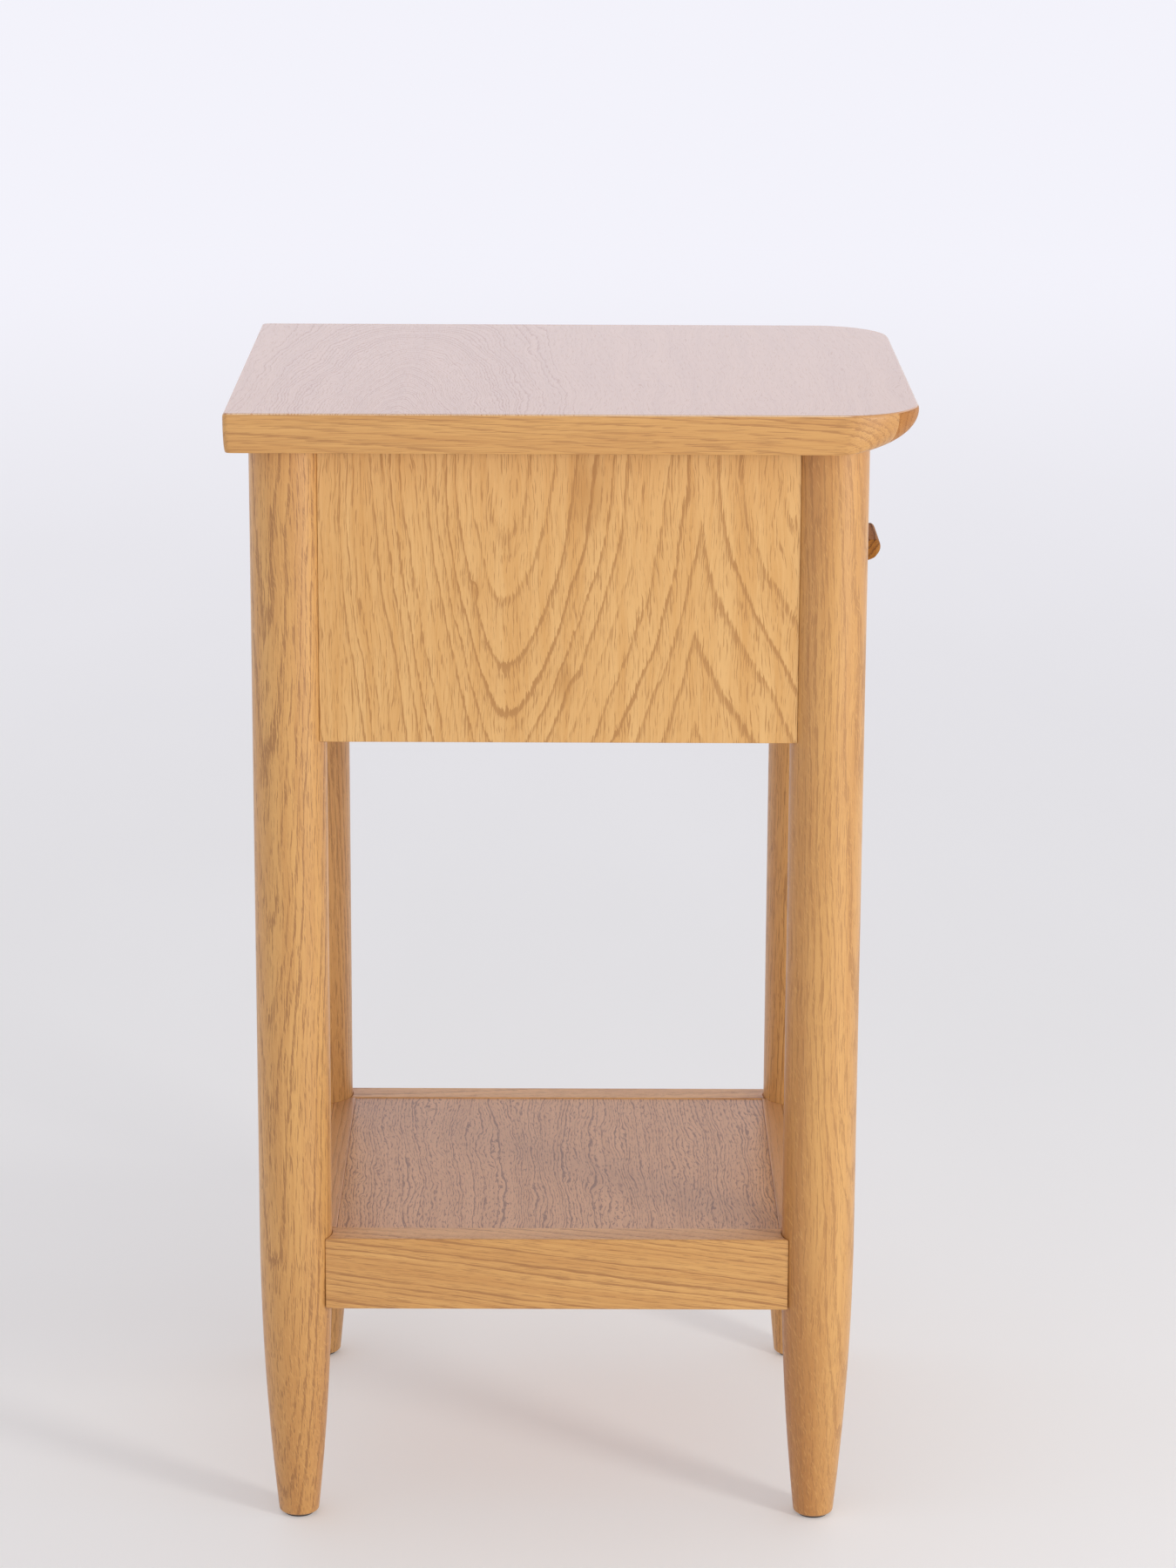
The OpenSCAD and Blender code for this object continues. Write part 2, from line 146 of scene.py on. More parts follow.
def spread(first, last, count):
    """count steps from first to last, both ends included."""
    return [first + (last - first) * i / count for i in range(count + 1)]


def finish_piece(name, bm, material, body, nodes):
    """Makes bm a shown piece that rides on a body and stands for its CAD nodes."""
    bmesh.ops.remove_doubles(bm, verts=bm.verts, dist=MERGE_DISTANCE)
    bmesh.ops.recalc_face_normals(bm, faces=bm.faces)
    mesh = bpy.data.meshes.new(name)
    bm.to_mesh(mesh)
    bm.free()
    mesh.shade_smooth()
    mesh.materials.append(material)
    piece = bpy.data.objects.new(name, mesh)
    bpy.context.scene.collection.objects.link(piece)
    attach(piece, body)
    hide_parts(*nodes)
    return piece


def soften(piece, width, segments=3, angle=SHARP_ANGLE):
    """Rounds the sharp edges of a piece and keeps its flat faces flat in shading."""
    bevel = piece.modifiers.new("arris", "BEVEL")
    bevel.width = width
    bevel.segments = segments
    bevel.limit_method = "ANGLE"
    bevel.angle_limit = angle
    bevel.miter_outer = "MITER_ARC"
    flatten(piece)


def flatten(piece):
    """Weights the normals by face area, so that large flat faces shade flat."""
    weighted = piece.modifiers.new("flat_faces", "WEIGHTED_NORMAL")
    weighted.weight = 100
    weighted.keep_sharp = True


def crisp(piece):
    """Splits the shading at the sharp edges of a piece that no modifier rounds."""
    piece.data.set_sharp_from_angle(angle=SHARP_ANGLE)
    flatten(piece)


def add_prism(bm, outline, axis, low, high):
    """A closed prism along an axis, whose outline's points are in the order of the other two axes."""
    place = {
        "X": lambda a, b, c: (c, a, b),
        "Y": lambda a, b, c: (a, c, b),
        "Z": lambda a, b, c: (a, b, c),
    }[axis]
    ends = [[bm.verts.new(place(a, b, level)) for a, b in outline] for level in (low, high)]
    count = len(outline)
    bm.faces.new(ends[0][::-1])
    bm.faces.new(ends[1])
    for i in range(count):
        j = (i + 1) % count
        bm.faces.new([ends[0][i], ends[0][j], ends[1][j], ends[1][i]])


def prism(outline, axis, low, high):
    bm = bmesh.new()
    add_prism(bm, outline, axis, low, high)
    return bm


def rectangle(x0, x1, y0, y1):
    return [(x0, y0), (x1, y0), (x1, y1), (x0, y1)]


def add_rings(bm, rings):
    """Joins rings of equally many points, from first to last, and caps both ends."""
    loops = [[bm.verts.new(point) for point in ring] for ring in rings]
    count = len(rings[0])
    for lower, upper in zip(loops, loops[1:]):
        for i in range(count):
            j = (i + 1) % count
            bm.faces.new([lower[i], lower[j], upper[j], upper[i]])
    bm.faces.new(loops[0][::-1])
    bm.faces.new(loops[-1])


def add_lathe(bm, profile, centre, segments):
    """A turned solid about the vertical line through centre. The profile runs upwards as (radius, height)."""
    angles = [2 * math.pi * i / segments for i in range(segments)]
    add_rings(bm, [
        [(centre[0] + r * math.cos(a), centre[1] + r * math.sin(a), z) for a in angles]
        for r, z in profile
    ])


def cut(bm, point, normal):
    """Cuts off what lies on the normal's side of a plane, and closes the solid again."""
    everything = bm.verts[:] + bm.edges[:] + bm.faces[:]
    result = bmesh.ops.bisect_plane(
        bm, geom=everything, dist=MERGE_DISTANCE, plane_co=point, plane_no=normal, clear_outer=True
    )
    edges = [e for e in result["geom_cut"] if isinstance(e, bmesh.types.BMEdge)]
    bmesh.ops.holes_fill(bm, edges=edges, sides=0)


def carve(bm, cutter):
    """Returns bm with the cutter's solids taken away."""
    objects = []
    for name, form in (("carved", bm), ("cutter", cutter)):
        bmesh.ops.recalc_face_normals(form, faces=form.faces)
        mesh = bpy.data.meshes.new(name)
        form.to_mesh(mesh)
        form.free()
        shape = bpy.data.objects.new(name, mesh)
        bpy.context.scene.collection.objects.link(shape)
        objects.append(shape)
    body, tool = objects
    difference = body.modifiers.new("carve", "BOOLEAN")
    difference.operation = "DIFFERENCE"
    difference.solver = "EXACT"
    difference.use_self = True
    difference.object = tool
    graph = bpy.context.evaluated_depsgraph_get()
    result = bmesh.new()
    result.from_mesh(body.evaluated_get(graph).to_mesh())
    for shape in objects:
        mesh = shape.data
        bpy.data.objects.remove(shape)
        bpy.data.meshes.remove(mesh)
    return result


def cope(outline, centre, radius):
    """The outline, anticlockwise, with a round bite taken out of its border."""
    centre = Vector(centre)
    points = [Vector(p) for p in outline]
    inside = [(p - centre).length < radius for p in points]
    first = inside.index(False)
    order = [(first + i) % len(points) for i in range(len(points) + 1)]
    result = []
    entry = None
    for i, j in zip(order, order[1:]):
        p, q = points[i], points[j]
        if not inside[i]:
            result.append(tuple(p))
        if inside[i] == inside[j]:
            continue
        crossing = circle_crossing(p, q, centre, radius)
        if inside[j]:
            entry = crossing
        else:
            result.extend(bite(entry, crossing, centre, radius))
    return result


def circle_crossing(p, q, centre, radius):
    """Where the edge from p to q crosses the circle, when one end is inside it."""
    run = q - p
    a = run.dot(run)
    b = 2 * run.dot(p - centre)
    c = (p - centre).dot(p - centre) - radius * radius
    root = math.sqrt(b * b - 4 * a * c)
    return next(p + run * t for t in ((-b - root) / (2 * a), (-b + root) / (2 * a)) if 0 <= t <= 1)


def bite(start, end, centre, radius):
    """Points clockwise round the circle from start to end."""
    turn = [math.atan2(p.y - centre.y, p.x - centre.x) for p in (start, end)]
    sweep = (turn[0] - turn[1]) % (2 * math.pi)
    steps = max(2, round(sweep / COPE_STEP))
    return [
        (centre.x + radius * math.cos(turn[0] - sweep * k / steps),
         centre.y + radius * math.sin(turn[0] - sweep * k / steps))
        for k in range(steps + 1)
    ]


# ---- Material helpers ----

class Graph:
    """Builds one material's nodes with short calls. A value is a socket or a plain number."""

    def __init__(self, name):
        self.material = bpy.data.materials.new(name)
        self.material.use_nodes = True
        self.nodes = self.material.node_tree.nodes
        self.links = self.material.node_tree.links
        self.nodes.clear()

    def join(self, value, socket):
        if isinstance(value, bpy.types.NodeSocket):
            self.links.new(value, socket)
        else:
            socket.default_value = value

    def put(self, kind, inputs, **settings):
        node = self.nodes.new(kind)
        for key, value in settings.items():
            setattr(node, key, value)
        for key, value in inputs.items():
            self.join(value, node.inputs[key])
        return node

    def math(self, operation, *values):
        return self.put("ShaderNodeMath", dict(enumerate(values)), operation=operation).outputs[0]

    def add(self, *values):
        total = values[0]
        for value in values[1:]:
            total = self.math("ADD", total, value)
        return total

    def times(self, a, b):
        return self.math("MULTIPLY", a, b)

    def step(self, value, low, high):
        """0 below low and 1 above high, with a smooth rise between them."""
        inputs = {"Value": value, "From Min": low, "From Max": high}
        return self.put("ShaderNodeMapRange", inputs, interpolation_type="SMOOTHSTEP").outputs[0]

    def at(self, x, y, z):
        return self.put("ShaderNodeCombineXYZ", {"X": x, "Y": y, "Z": z}).outputs[0]

    def noise(self, vector, detail=2, roughness=0.5):
        inputs = {"Vector": vector, "Scale": 1, "Detail": detail, "Roughness": roughness}
        return self.put("ShaderNodeTexNoise", inputs).outputs[0]

    def swing(self, vector, size, detail=2):
        """Noise that swings by about size to either side of 0."""
        return self.times(self.math("SUBTRACT", self.noise(vector, detail), 0.5), 2 * size)

    def mix(self, factor, a, b):
        node = self.nodes.new("ShaderNodeMix")
        node.data_type = "RGBA"
        self.join(factor, node.inputs[0])
        self.join(a, node.inputs[6])
        self.join(b, node.inputs[7])
        return node.outputs[2]

    def object_axes(self):
        """The object's own X, Y and Z in millimetres."""
        place = self.put("ShaderNodeTexCoord", {}).outputs["Object"]
        scaled = self.put("ShaderNodeVectorMath", {0: place, 1: (1 / MM,) * 3}, operation="MULTIPLY")
        parts = self.put("ShaderNodeSeparateXYZ", {0: scaled.outputs[0]}).outputs
        return {"X": parts[0], "Y": parts[1], "Z": parts[2]}

    def bump(self, height, strength, distance):
        inputs = {"Height": height, "Strength": strength, "Distance": distance}
        return self.put("ShaderNodeBump", inputs).outputs[0]

    def surface(self, colour, roughness, normal=None, **settings):
        shader = self.nodes.new("ShaderNodeBsdfPrincipled")
        self.join(colour, shader.inputs["Base Color"])
        self.join(roughness, shader.inputs["Roughness"])
        if normal is not None:
            self.join(normal, shader.inputs["Normal"])
            self.join(normal, shader.inputs["Coat Normal"])
        for key, value in settings.items():
            shader.inputs[key].default_value = value
        output = self.nodes.new("ShaderNodeOutputMaterial")
        self.links.new(shader.outputs[0], output.inputs[0])
        return self.material


def colour(red, green, blue):
    return (red, green, blue, 1)


PANEL_TONES = {
    "light": colour(0.75, 0.442, 0.153),
    "warm": colour(0.66, 0.345, 0.094),
    "early": colour(0.51, 0.240, 0.050),
    "pore": colour(0.40, 0.180, 0.038),
}
SOLID_TONES = {
    "light": colour(0.68, 0.368, 0.108),
    "warm": colour(0.57, 0.280, 0.074),
    "early": colour(0.44, 0.19, 0.045),
    "pore": colour(0.30, 0.125, 0.03),
}
TOP_TONES = {
    "light": colour(0.66, 0.345, 0.135),
    "warm": colour(0.58, 0.285, 0.100),
    "early": colour(0.48, 0.170, 0.032),
    "pore": colour(0.36, 0.125, 0.025),
}
SHELF_TONES = {
    "light": colour(0.60, 0.31, 0.120),
    "warm": colour(0.53, 0.26, 0.090),
    "early": colour(0.27, 0.115, 0.038),
    "pore": colour(0.20, 0.083, 0.030),
}
NOSE_TONES = {
    "light": colour(0.50, 0.225, 0.060),
    "warm": colour(0.42, 0.175, 0.045),
    "early": colour(0.36, 0.14, 0.035),
    "pore": colour(0.25, 0.10, 0.03),
}
PULL_TONES = {
    "light": colour(0.39, 0.172, 0.034),
    "warm": colour(0.32, 0.130, 0.024),
    "early": colour(0.15, 0.055, 0.018),
    "pore": colour(0.09, 0.033, 0.013),
}
# A dark oak tone: the heartwood along the left lipping, and painted shade on the legs.
HEARTWOOD_AND_PAINTED_SHADE = colour(0.40, 0.145, 0.022)
# A painted highlight: the light tone that the top's edges turn to, standing in for light caught on the arris.
PAINTED_EDGE_HIGHLIGHT = colour(0.98, 0.78, 0.52)
SATIN = {"Coat Weight": 0.8, "Coat Roughness": 0.48, "Specular IOR Level": 0.3}
MATT = {"Specular IOR Level": 0.15}
POLISHED = {"Coat Weight": 1.0, "Coat Roughness": 0.16, "Specular IOR Level": 0.6}
WAXED = {"Coat Weight": 0.7, "Coat Roughness": 0.3, "Specular IOR Level": 0.3}

# Plain woods: their light and dark stripes, and their flecks.
BEECH_TONES = (colour(0.70, 0.48, 0.30), colour(0.60, 0.38, 0.22), colour(0.42, 0.24, 0.13))
DRAWER_TONES = (colour(0.74, 0.56, 0.35), colour(0.64, 0.45, 0.26), colour(0.46, 0.30, 0.16))
CORE_TONES = (colour(0.66, 0.50, 0.31), colour(0.55, 0.39, 0.23), colour(0.42, 0.28, 0.15))

# Light that comes from the studio's backdrop, walls and ceiling.
BACKDROP = colour(0.90, 0.895, 0.965)
WALL = colour(1.00, 0.955, 1.06)
CEILING = colour(0.48, 0.48, 0.50)

# The size of oak's bends, streaks and fibres, each (along the grain, across it), in millimetres.
SLOW_BEND = (150, 40)
SMALL_BEND = (22, 7)
STREAK = (220, 9)
FIBRE = (28, 0.6)
PORE_DEPTH = 0.12 * MM

# What oak() draws unless a piece says otherwise. Lengths are in millimetres.
OAK = {
    "depth": 22,  # how far the log's heart lies behind the face
    "slope": 0.18,  # how fast the cathedral figure opens along the grain
    "ring": 5,  # the width of a year's growth
    "apart": 1,  # how much a distance counts on the low side: less sets its lines wider apart
    "ridge": 500,  # how far out on the low side the lines turn back
    "after": 1,  # how fast they run back past the ridge
    "gather": 0,  # how much the rings close up away from the heart
    "skew": 0,  # how much more they do so on the high side
    "steepen": 1000,  # how far to its side the lines start to run straight
    "until": 1000,  # how far along the grain the figure goes on opening
    "lean": 0,  # how much the grain leans
    "wander": 5,  # how far the lines bend
    "ragged": 1.2,  # how far their edges fray
    "calm": 400,  # how far from the heart the figure starts to fade
    "knots": (),  # each (across, along, size, swirl)
    "shifts": (),  # each (direction, from, to, strength, tone): the wood turns to the tone on the way
    "rays": 0,  # strength of the slanted flecks of a face cut near the quarter
    "ring_strength": 0.6,
    "pore_strength": 0.5,
    "pore_width": 0.36,
    "pore_length": 14,
    "relief": 0.25,  # how deep the pores look
    "roughness": 0.42,
    "tones": SOLID_TONES,
    "finish": SATIN,
}


class Oak(Graph):
    """The nodes of a piece of oak that is sawn from a log; form holds what OAK lists.

    At each point u is the way across the face from the heart of the figure, v the way into the face and g
    the way along the grain, in millimetres. fibres is a fine noise along the grain.
    """

    def __init__(self, name, along, across, heart, form):
        super().__init__(name)
        self.heart = heart
        self.form = form
        self.axes = self.object_axes()
        third = next(a for a in "XYZ" if a not in (along, across))
        self.g = self.math("SUBTRACT", self.axes[along], heart[2])
        self.v = self.math("SUBTRACT", self.axes[third], heart[1])
        level_u = self.math("SUBTRACT", self.axes[across], heart[0])
        self.straight_u = self.add(level_u, self.times(self.g, form["lean"]))
        slow = self.swing(self.drawn_out(self.straight_u, *SLOW_BEND), form["wander"])
        small = self.swing(self.drawn_out(self.straight_u, *SMALL_BEND), 0.18 * form["wander"])
        self.u = self.add(self.straight_u, slow, small)
        self.fibres = self.long_noise(*FIBRE)

    def drawn_out(self, u, length, width):
        """The place in a noise whose grains are so long along the wood's grain and so wide across it."""
        g, u, v = self.times(self.g, 1 / length), self.times(u, 1 / width), self.times(self.v, 1 / width)
        return self.at(g, u, v)

    def long_noise(self, length, width, detail=2):
        return self.noise(self.drawn_out(self.u, length, width), detail, 0.6)

    def side(self):
        """How far a point lies to the side of the figure's middle, with the ridge on the low side."""
        form = self.form
        high_side = self.math("MAXIMUM", self.u, 0)
        high_side = self.times(high_side, self.math("MULTIPLY_ADD", high_side, form["skew"], 1))
        low_side = self.times(self.math("MINIMUM", self.u, 0), -1)
        past = self.math("MAXIMUM", self.math("SUBTRACT", low_side, form["ridge"]), 0)
        low_side = self.times(self.add(low_side, self.times(past, -1 - form["after"])), form["apart"])
        return self.math("ADD", high_side, low_side)

    def years(self):
        """The number of rings between a point and the figure's middle, with a fraction."""
        form = self.form
        side = self.side()
        far = self.times(side, 1 / form["steepen"])
        opening = self.math("DIVIDE", -form["slope"], self.math("MULTIPLY_ADD", far, far, 1))
        opened = self.times(self.math("SMOOTH_MIN", self.g, form["until"], 0.7 * form["until"]), opening)
        deep = self.math("ADD", self.v, form["depth"])
        squares = self.math("ADD", self.times(side, side), self.times(deep, deep))
        reach = self.math("SUBTRACT", self.math("SQRT", squares), form["depth"])
        reach = self.math("ADD", reach, self.times(self.times(reach, reach), form["gather"]))
        frayed = self.add(reach, opened, self.times(self.fibres, 2 * form["ragged"]))
        rings = self.times(frayed, 1 / form["ring"])
        uneven = self.swing(self.at(self.times(rings, 0.37), 5.3, 0), 0.7, 1)
        return self.math("ADD", rings, uneven)

    def knot(self, across_at, along_at, size):
        """1 in the middle of a knot and 0 outside it, with a frayed edge."""
        off_u = self.math("SUBTRACT", self.straight_u, across_at - self.heart[0])
        off_g = self.times(self.math("SUBTRACT", self.g, along_at - self.heart[2]), 0.5)
        away = self.math("SQRT", self.math("ADD", self.times(off_u, off_u), self.times(off_g, off_g)))
        away = self.add(away, self.times(self.math("SUBTRACT", self.fibres, 0.5), size))
        return self.step(away, size, 0)

    def bands(self, years, width, seed=0.5):
        """Dark porous bands, one a year, that start sharply and fade, each of its own strength."""
        phase = self.math("FRACT", years)
        number = self.math("ADD", self.math("FLOOR", years), seed)
        strength = self.put("ShaderNodeTexWhiteNoise", {"W": number}, noise_dimensions="1D").outputs[0]
        fade = self.math("SUBTRACT", 1, self.step(phase, 0.3 * width, width))
        shape = self.times(self.step(phase, 0, 0.2 * width), fade)
        return self.times(shape, self.math("MULTIPLY_ADD", strength, 0.7, 0.3))

    def figure(self, years):
        """How dark the rings are, less so far from the heart."""
        calm = self.form["calm"]
        band = self.bands(years, min(0.4, 2.2 / self.form["ring"]))
        shade = self.bands(years, 1)
        lesser = self.bands(self.times(years, 2.6), 0.6, 40.5)
        away = self.step(self.math("ABSOLUTE", self.u), calm, 2.2 * calm)
        share = self.math("MULTIPLY_ADD", away, -0.8, 1)
        return self.times(self.add(band, self.times(shade, 0.3), self.times(lesser, 0.2)), share)

    def ground(self):
        """The wood's own colour, before its rings and pores."""
        tones = self.form["tones"]
        streak = self.long_noise(*STREAK, detail=3)
        tone = self.add(self.times(streak, 0.65), self.times(self.fibres, 0.35))
        wood = self.mix(self.step(tone, 0.36, 0.66), tones["light"], tones["warm"])
        for direction, start, end, strength, turned in self.form["shifts"]:
            place = self.add(*(self.times(self.axes[a], share) for a, share in zip("XYZ", direction)))
            wood = self.mix(self.times(self.step(place, start, end), strength), wood, turned)
        return wood

    def rays(self):
        """Short flecks that slant across the grain."""
        place = self.at(
            self.times(self.add(self.g, self.times(self.u, 0.6)), 1 / 5),
            self.times(self.add(self.u, self.times(self.g, -0.35)), 1 / 0.8),
            self.times(self.v, 1 / 4),
        )
        return self.times(self.step(self.noise(place), 0.55, 0.7), self.form["rays"])


def oak(name, along, across, heart, **changes):
    """Lacquered oak, with what differs from OAK in changes.

    along is the grain's axis and across is the axis across the face, each "X", "Y" or "Z". heart is where
    the middle of a cathedral figure starts on the face: (across, the face's own place in depth, along), in
    millimetres.
    """
    form = {**OAK, **changes}
    tones = form["tones"]
    graph = Oak(name, along, across, heart, form)
    years = graph.years()
    stain = 0
    for across_at, along_at, size, swirl in form["knots"]:
        near = graph.knot(across_at, along_at, size)
        years = graph.math("ADD", years, graph.times(near, swirl))
        stain = graph.math("ADD", near, stain)
    figure = graph.figure(years)
    pore_noise = graph.long_noise(form["pore_length"], form["pore_width"])
    pores = graph.step(graph.add(pore_noise, graph.times(figure, 0.2)), 0.6, 0.66)

    marks = graph.add(graph.times(figure, form["ring_strength"]), graph.times(stain, 0.7))
    brown = graph.times(marks, graph.math("ADD", graph.fibres, 0.45))
    wood = graph.mix(graph.math("MINIMUM", brown, 1), graph.ground(), tones["early"])
    wood = graph.mix(graph.times(pores, form["pore_strength"]), wood, tones["pore"])
    if form["rays"]:
        wood = graph.mix(graph.rays(), wood, tones["light"])
    height = graph.add(graph.times(pores, -0.7), graph.times(figure, -0.3))
    normal = graph.bump(height, form["relief"], PORE_DEPTH)
    roughness = graph.add(form["roughness"], graph.times(pores, 0.14))
    return graph.surface(wood, roughness, normal, **form["finish"])


def plain_wood(name, along, tones, roughness=0.55):
    """A close-grained wood with soft stripes and short fine flecks along its grain."""
    light, dark, fleck = tones
    graph = Graph(name)
    axes = graph.object_axes()
    u, v = (axes[a] for a in "XYZ" if a != along)
    g = axes[along]
    stripes = graph.noise(graph.at(graph.times(g, 1 / 180), graph.times(u, 1 / 7), graph.times(v, 1 / 7)), 3)
    flecks = graph.noise(graph.at(graph.times(g, 1 / 3), graph.times(u, 1 / 0.5), graph.times(v, 1 / 0.5)), 1)
    wood = graph.mix(graph.step(stripes, 0.3, 0.7), light, dark)
    wood = graph.mix(graph.times(graph.step(flecks, 0.58, 0.72), 0.5), wood, fleck)
    normal = graph.bump(flecks, 0.15, 0.1 * MM)
    return graph.surface(wood, graph.add(roughness, graph.times(stripes, 0.1)), normal)


def plywood(name, low, layer):
    """Birch plywood: pale faces, and layers that show at its edges. low is the underside's height in mm."""
    graph = Graph(name)
    axes = graph.object_axes()
    level = graph.times(graph.math("SUBTRACT", axes["Z"], low), 1 / (2 * layer))
    turn = graph.math("GREATER_THAN", graph.math("FRACT", level), 0.5)
    fibres = graph.noise(graph.at(graph.times(axes["X"], 1 / 60), graph.times(axes["Y"], 1 / 2), 0), 3)
    wood = graph.mix(graph.step(fibres, 0.3, 0.7), colour(0.76, 0.60, 0.39), colour(0.66, 0.49, 0.30))
    wood = graph.mix(graph.times(turn, 0.45), wood, colour(0.42, 0.28, 0.16))
    return graph.surface(wood, graph.add(0.5, graph.times(fibres, 0.15)), graph.bump(fibres, 0.1, 0.1 * MM))


def zinc_steel(name):
    graph = Graph(name)
    axes = graph.object_axes()
    spots = graph.noise(graph.at(*(graph.times(axes[a], 1 / 1.5) for a in "XYZ")), 4)
    tint = graph.mix(spots, colour(0.62, 0.62, 0.63), colour(0.80, 0.79, 0.74))
    return graph.surface(tint, graph.add(0.25, graph.times(spots, 0.2)), Metallic=1)


def moulded_plastic(name):
    graph = Graph(name)
    axes = graph.object_axes()
    grain = graph.noise(graph.at(*(graph.times(axes[a], 1 / 0.4) for a in "XYZ")), 2)
    tint = graph.mix(grain, colour(0.020, 0.017, 0.015), colour(0.035, 0.030, 0.027))
    return graph.surface(tint, graph.add(0.5, graph.times(grain, 0.2)), graph.bump(grain, 0.2, 0.05 * MM))


def studio_floor(name):
    """Pale matt floor that fades into the backdrop's own light far from the table."""
    graph = Graph(name)
    axes = graph.object_axes()
    across = graph.at(axes["X"], axes["Y"], 0)
    distance = graph.put("ShaderNodeVectorMath", {0: across}, operation="LENGTH").outputs[1]
    marks = graph.noise(graph.at(graph.times(axes["X"], 1 / 900), graph.times(axes["Y"], 1 / 350), 0), 3)
    tint = graph.mix(marks, colour(0.755, 0.755, 0.735), colour(0.815, 0.82, 0.805))
    graph.surface(tint, 0.7, **{"Emission Color": colour(0.79, 0.81, 0.79), "Emission Strength": 0.215})
    shader = next(n for n in graph.nodes if n.type == "BSDF_PRINCIPLED")
    output = next(n for n in graph.nodes if n.type == "OUTPUT_MATERIAL")
    glow = graph.put("ShaderNodeEmission", {"Color": BACKDROP, "Strength": 1})
    fade = graph.put("ShaderNodeMixShader", {0: graph.step(distance, 500, 5000)})
    graph.links.new(shader.outputs[0], fade.inputs[1])
    graph.links.new(glow.outputs[0], fade.inputs[2])
    graph.links.new(fade.outputs[0], output.inputs[0])
    return graph.material


# ---- Top ----

def edge_steps(thickness, nose, upper=8, lower=18):
    """Steps up a moulded edge, each (depth below the top, share of the upper inset, share of the lower)."""
    rising = [
        (nose + (thickness - nose) * math.sin(a), 0, 1 - math.cos(a))
        for a in spread(math.pi / 2, 0, lower)
    ]
    closing = [
        (nose * (1 - math.sin(a)), 1 - math.cos(a), 0)
        for a in spread(0, math.pi / 2, upper)
    ]
    return rising + closing[1:]


def moulded_ring(low, high, step, side, front, back, corner_r, back_r):
    """A moulded board's outline at one step of its edge; side, front and back are (upper, lower) insets."""
    insets = {"side": side, "front": front, "back": back}
    inset = {key: upper * step[1] + lower * step[2] for key, (upper, lower) in insets.items()}
    x0, x1 = low.x + inset["side"], high.x - inset["side"]
    y0, y1 = low.y + inset["front"], high.y - inset["back"]
    rx, ry = (max(corner_r - inset[key], SMALLEST_R) for key in ("side", "front"))
    quarter = spread(0, math.pi / 2, CORNER_STEPS)
    small = spread(0, math.pi / 2, BACK_CORNER_STEPS)
    z = high.z - step[0]
    return (
        [(x0 + rx * (1 - math.cos(a)), y0 + ry * (1 - math.sin(a)), z) for a in quarter]
        + [(x1 - rx * (1 - math.sin(a)), y0 + ry * (1 - math.cos(a)), z) for a in quarter]
        + [(x1 - back_r * (1 - math.cos(a)), y1 - back_r * (1 - math.sin(a)), z) for a in small]
        + [(x0 + back_r * (1 - math.sin(a)), y1 - back_r * (1 - math.cos(a)), z) for a in small]
    )


def whole_top():
    """The moulded top in one piece, which each part of the top is then cut from."""
    low = Vector((cad_low.x, cad_low.y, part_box("top_core")[0].z))
    bm = bmesh.new()
    add_rings(bm, [
        moulded_ring(
            low, cad_high, step,
            (TOP_ARRIS, TOP_PILLOW), (TOP_FRONT_ARRIS, TOP_BEVEL), (TOP_ARRIS, TOP_PILLOW),
            TOP_CORNER_R, TOP_BACK_CORNER_R,
        )
        for step in edge_steps(cad_high.z - low.z, TOP_NOSE)
    ])
    return bm


def make_lippings():
    """The top's solid edges, cut along the mitres, the back joints and the veneer's underside."""
    front = cad_low.y
    back = cad_high.y
    inner = cad_high.x - LIPPING_W
    under_veneer = ((0, 0, cad_high.z - VENEER_T), (0, 0, 1))
    mitre_right = Vector((inner, front + LIPPING_W, 0))
    mitre_left = Vector((-inner, front + LIPPING_W, 0))
    gap = Vector((SEAM, 0, 0))
    cuts = {
        "front": [
            under_veneer, ((0, front + LIPPING_W, 0), (0, 1, 0)),
            (mitre_right - gap, (1, 1, 0)), (mitre_left + gap, (-1, 1, 0)),
        ],
        "right": [under_veneer, ((inner, 0, 0), (-1, 0, 0)), (mitre_right + gap, (-1, -1, 0))],
        "left": [under_veneer, ((-inner, 0, 0), (1, 0, 0)), (mitre_left - gap, (1, -1, 0))],
        "back": [
            under_veneer, ((0, back - BACK_LIPPING_W, 0), (0, -1, 0)),
            ((inner - SEAM, 0, 0), (1, 0, 0)), ((SEAM - inner, 0, 0), (-1, 0, 0)),
        ],
    }
    woods = {
        "front": oak(
            "oak_lipping_front", "X", "Z", (590, -130, 20), depth=60, slope=0.02, ring=3.5,
            tones=NOSE_TONES, finish=MATT,
        ),
        "right": oak("oak_lipping_right", "Y", "Z", (560, 130, 40), depth=70, slope=0.03, ring=4),
        "left": oak(
            "oak_lipping_left", "Y", "Z", (562, -130, -60), depth=45, slope=0.05, ring=2.6, wander=3,
            ring_strength=0.24, pore_length=26, shifts=[((0, -1, 0), -150, 180, 0.14, HEARTWOOD_AND_PAINTED_SHADE)],
        ),
        "back": oak("oak_lipping_back", "X", "Z", (575, 150, 10), depth=50, slope=0.03, ring=4),
    }
    for side, planes in cuts.items():
        bm = whole_top()
        for point, normal in planes:
            cut(bm, point, normal)
        name = "top_lipping_" + side
        piece = finish_piece(name + "_moulded", bm, woods[side], "carcass", [name])
        soften(piece, LIPPING_ARRIS, 2, math.radians(40))


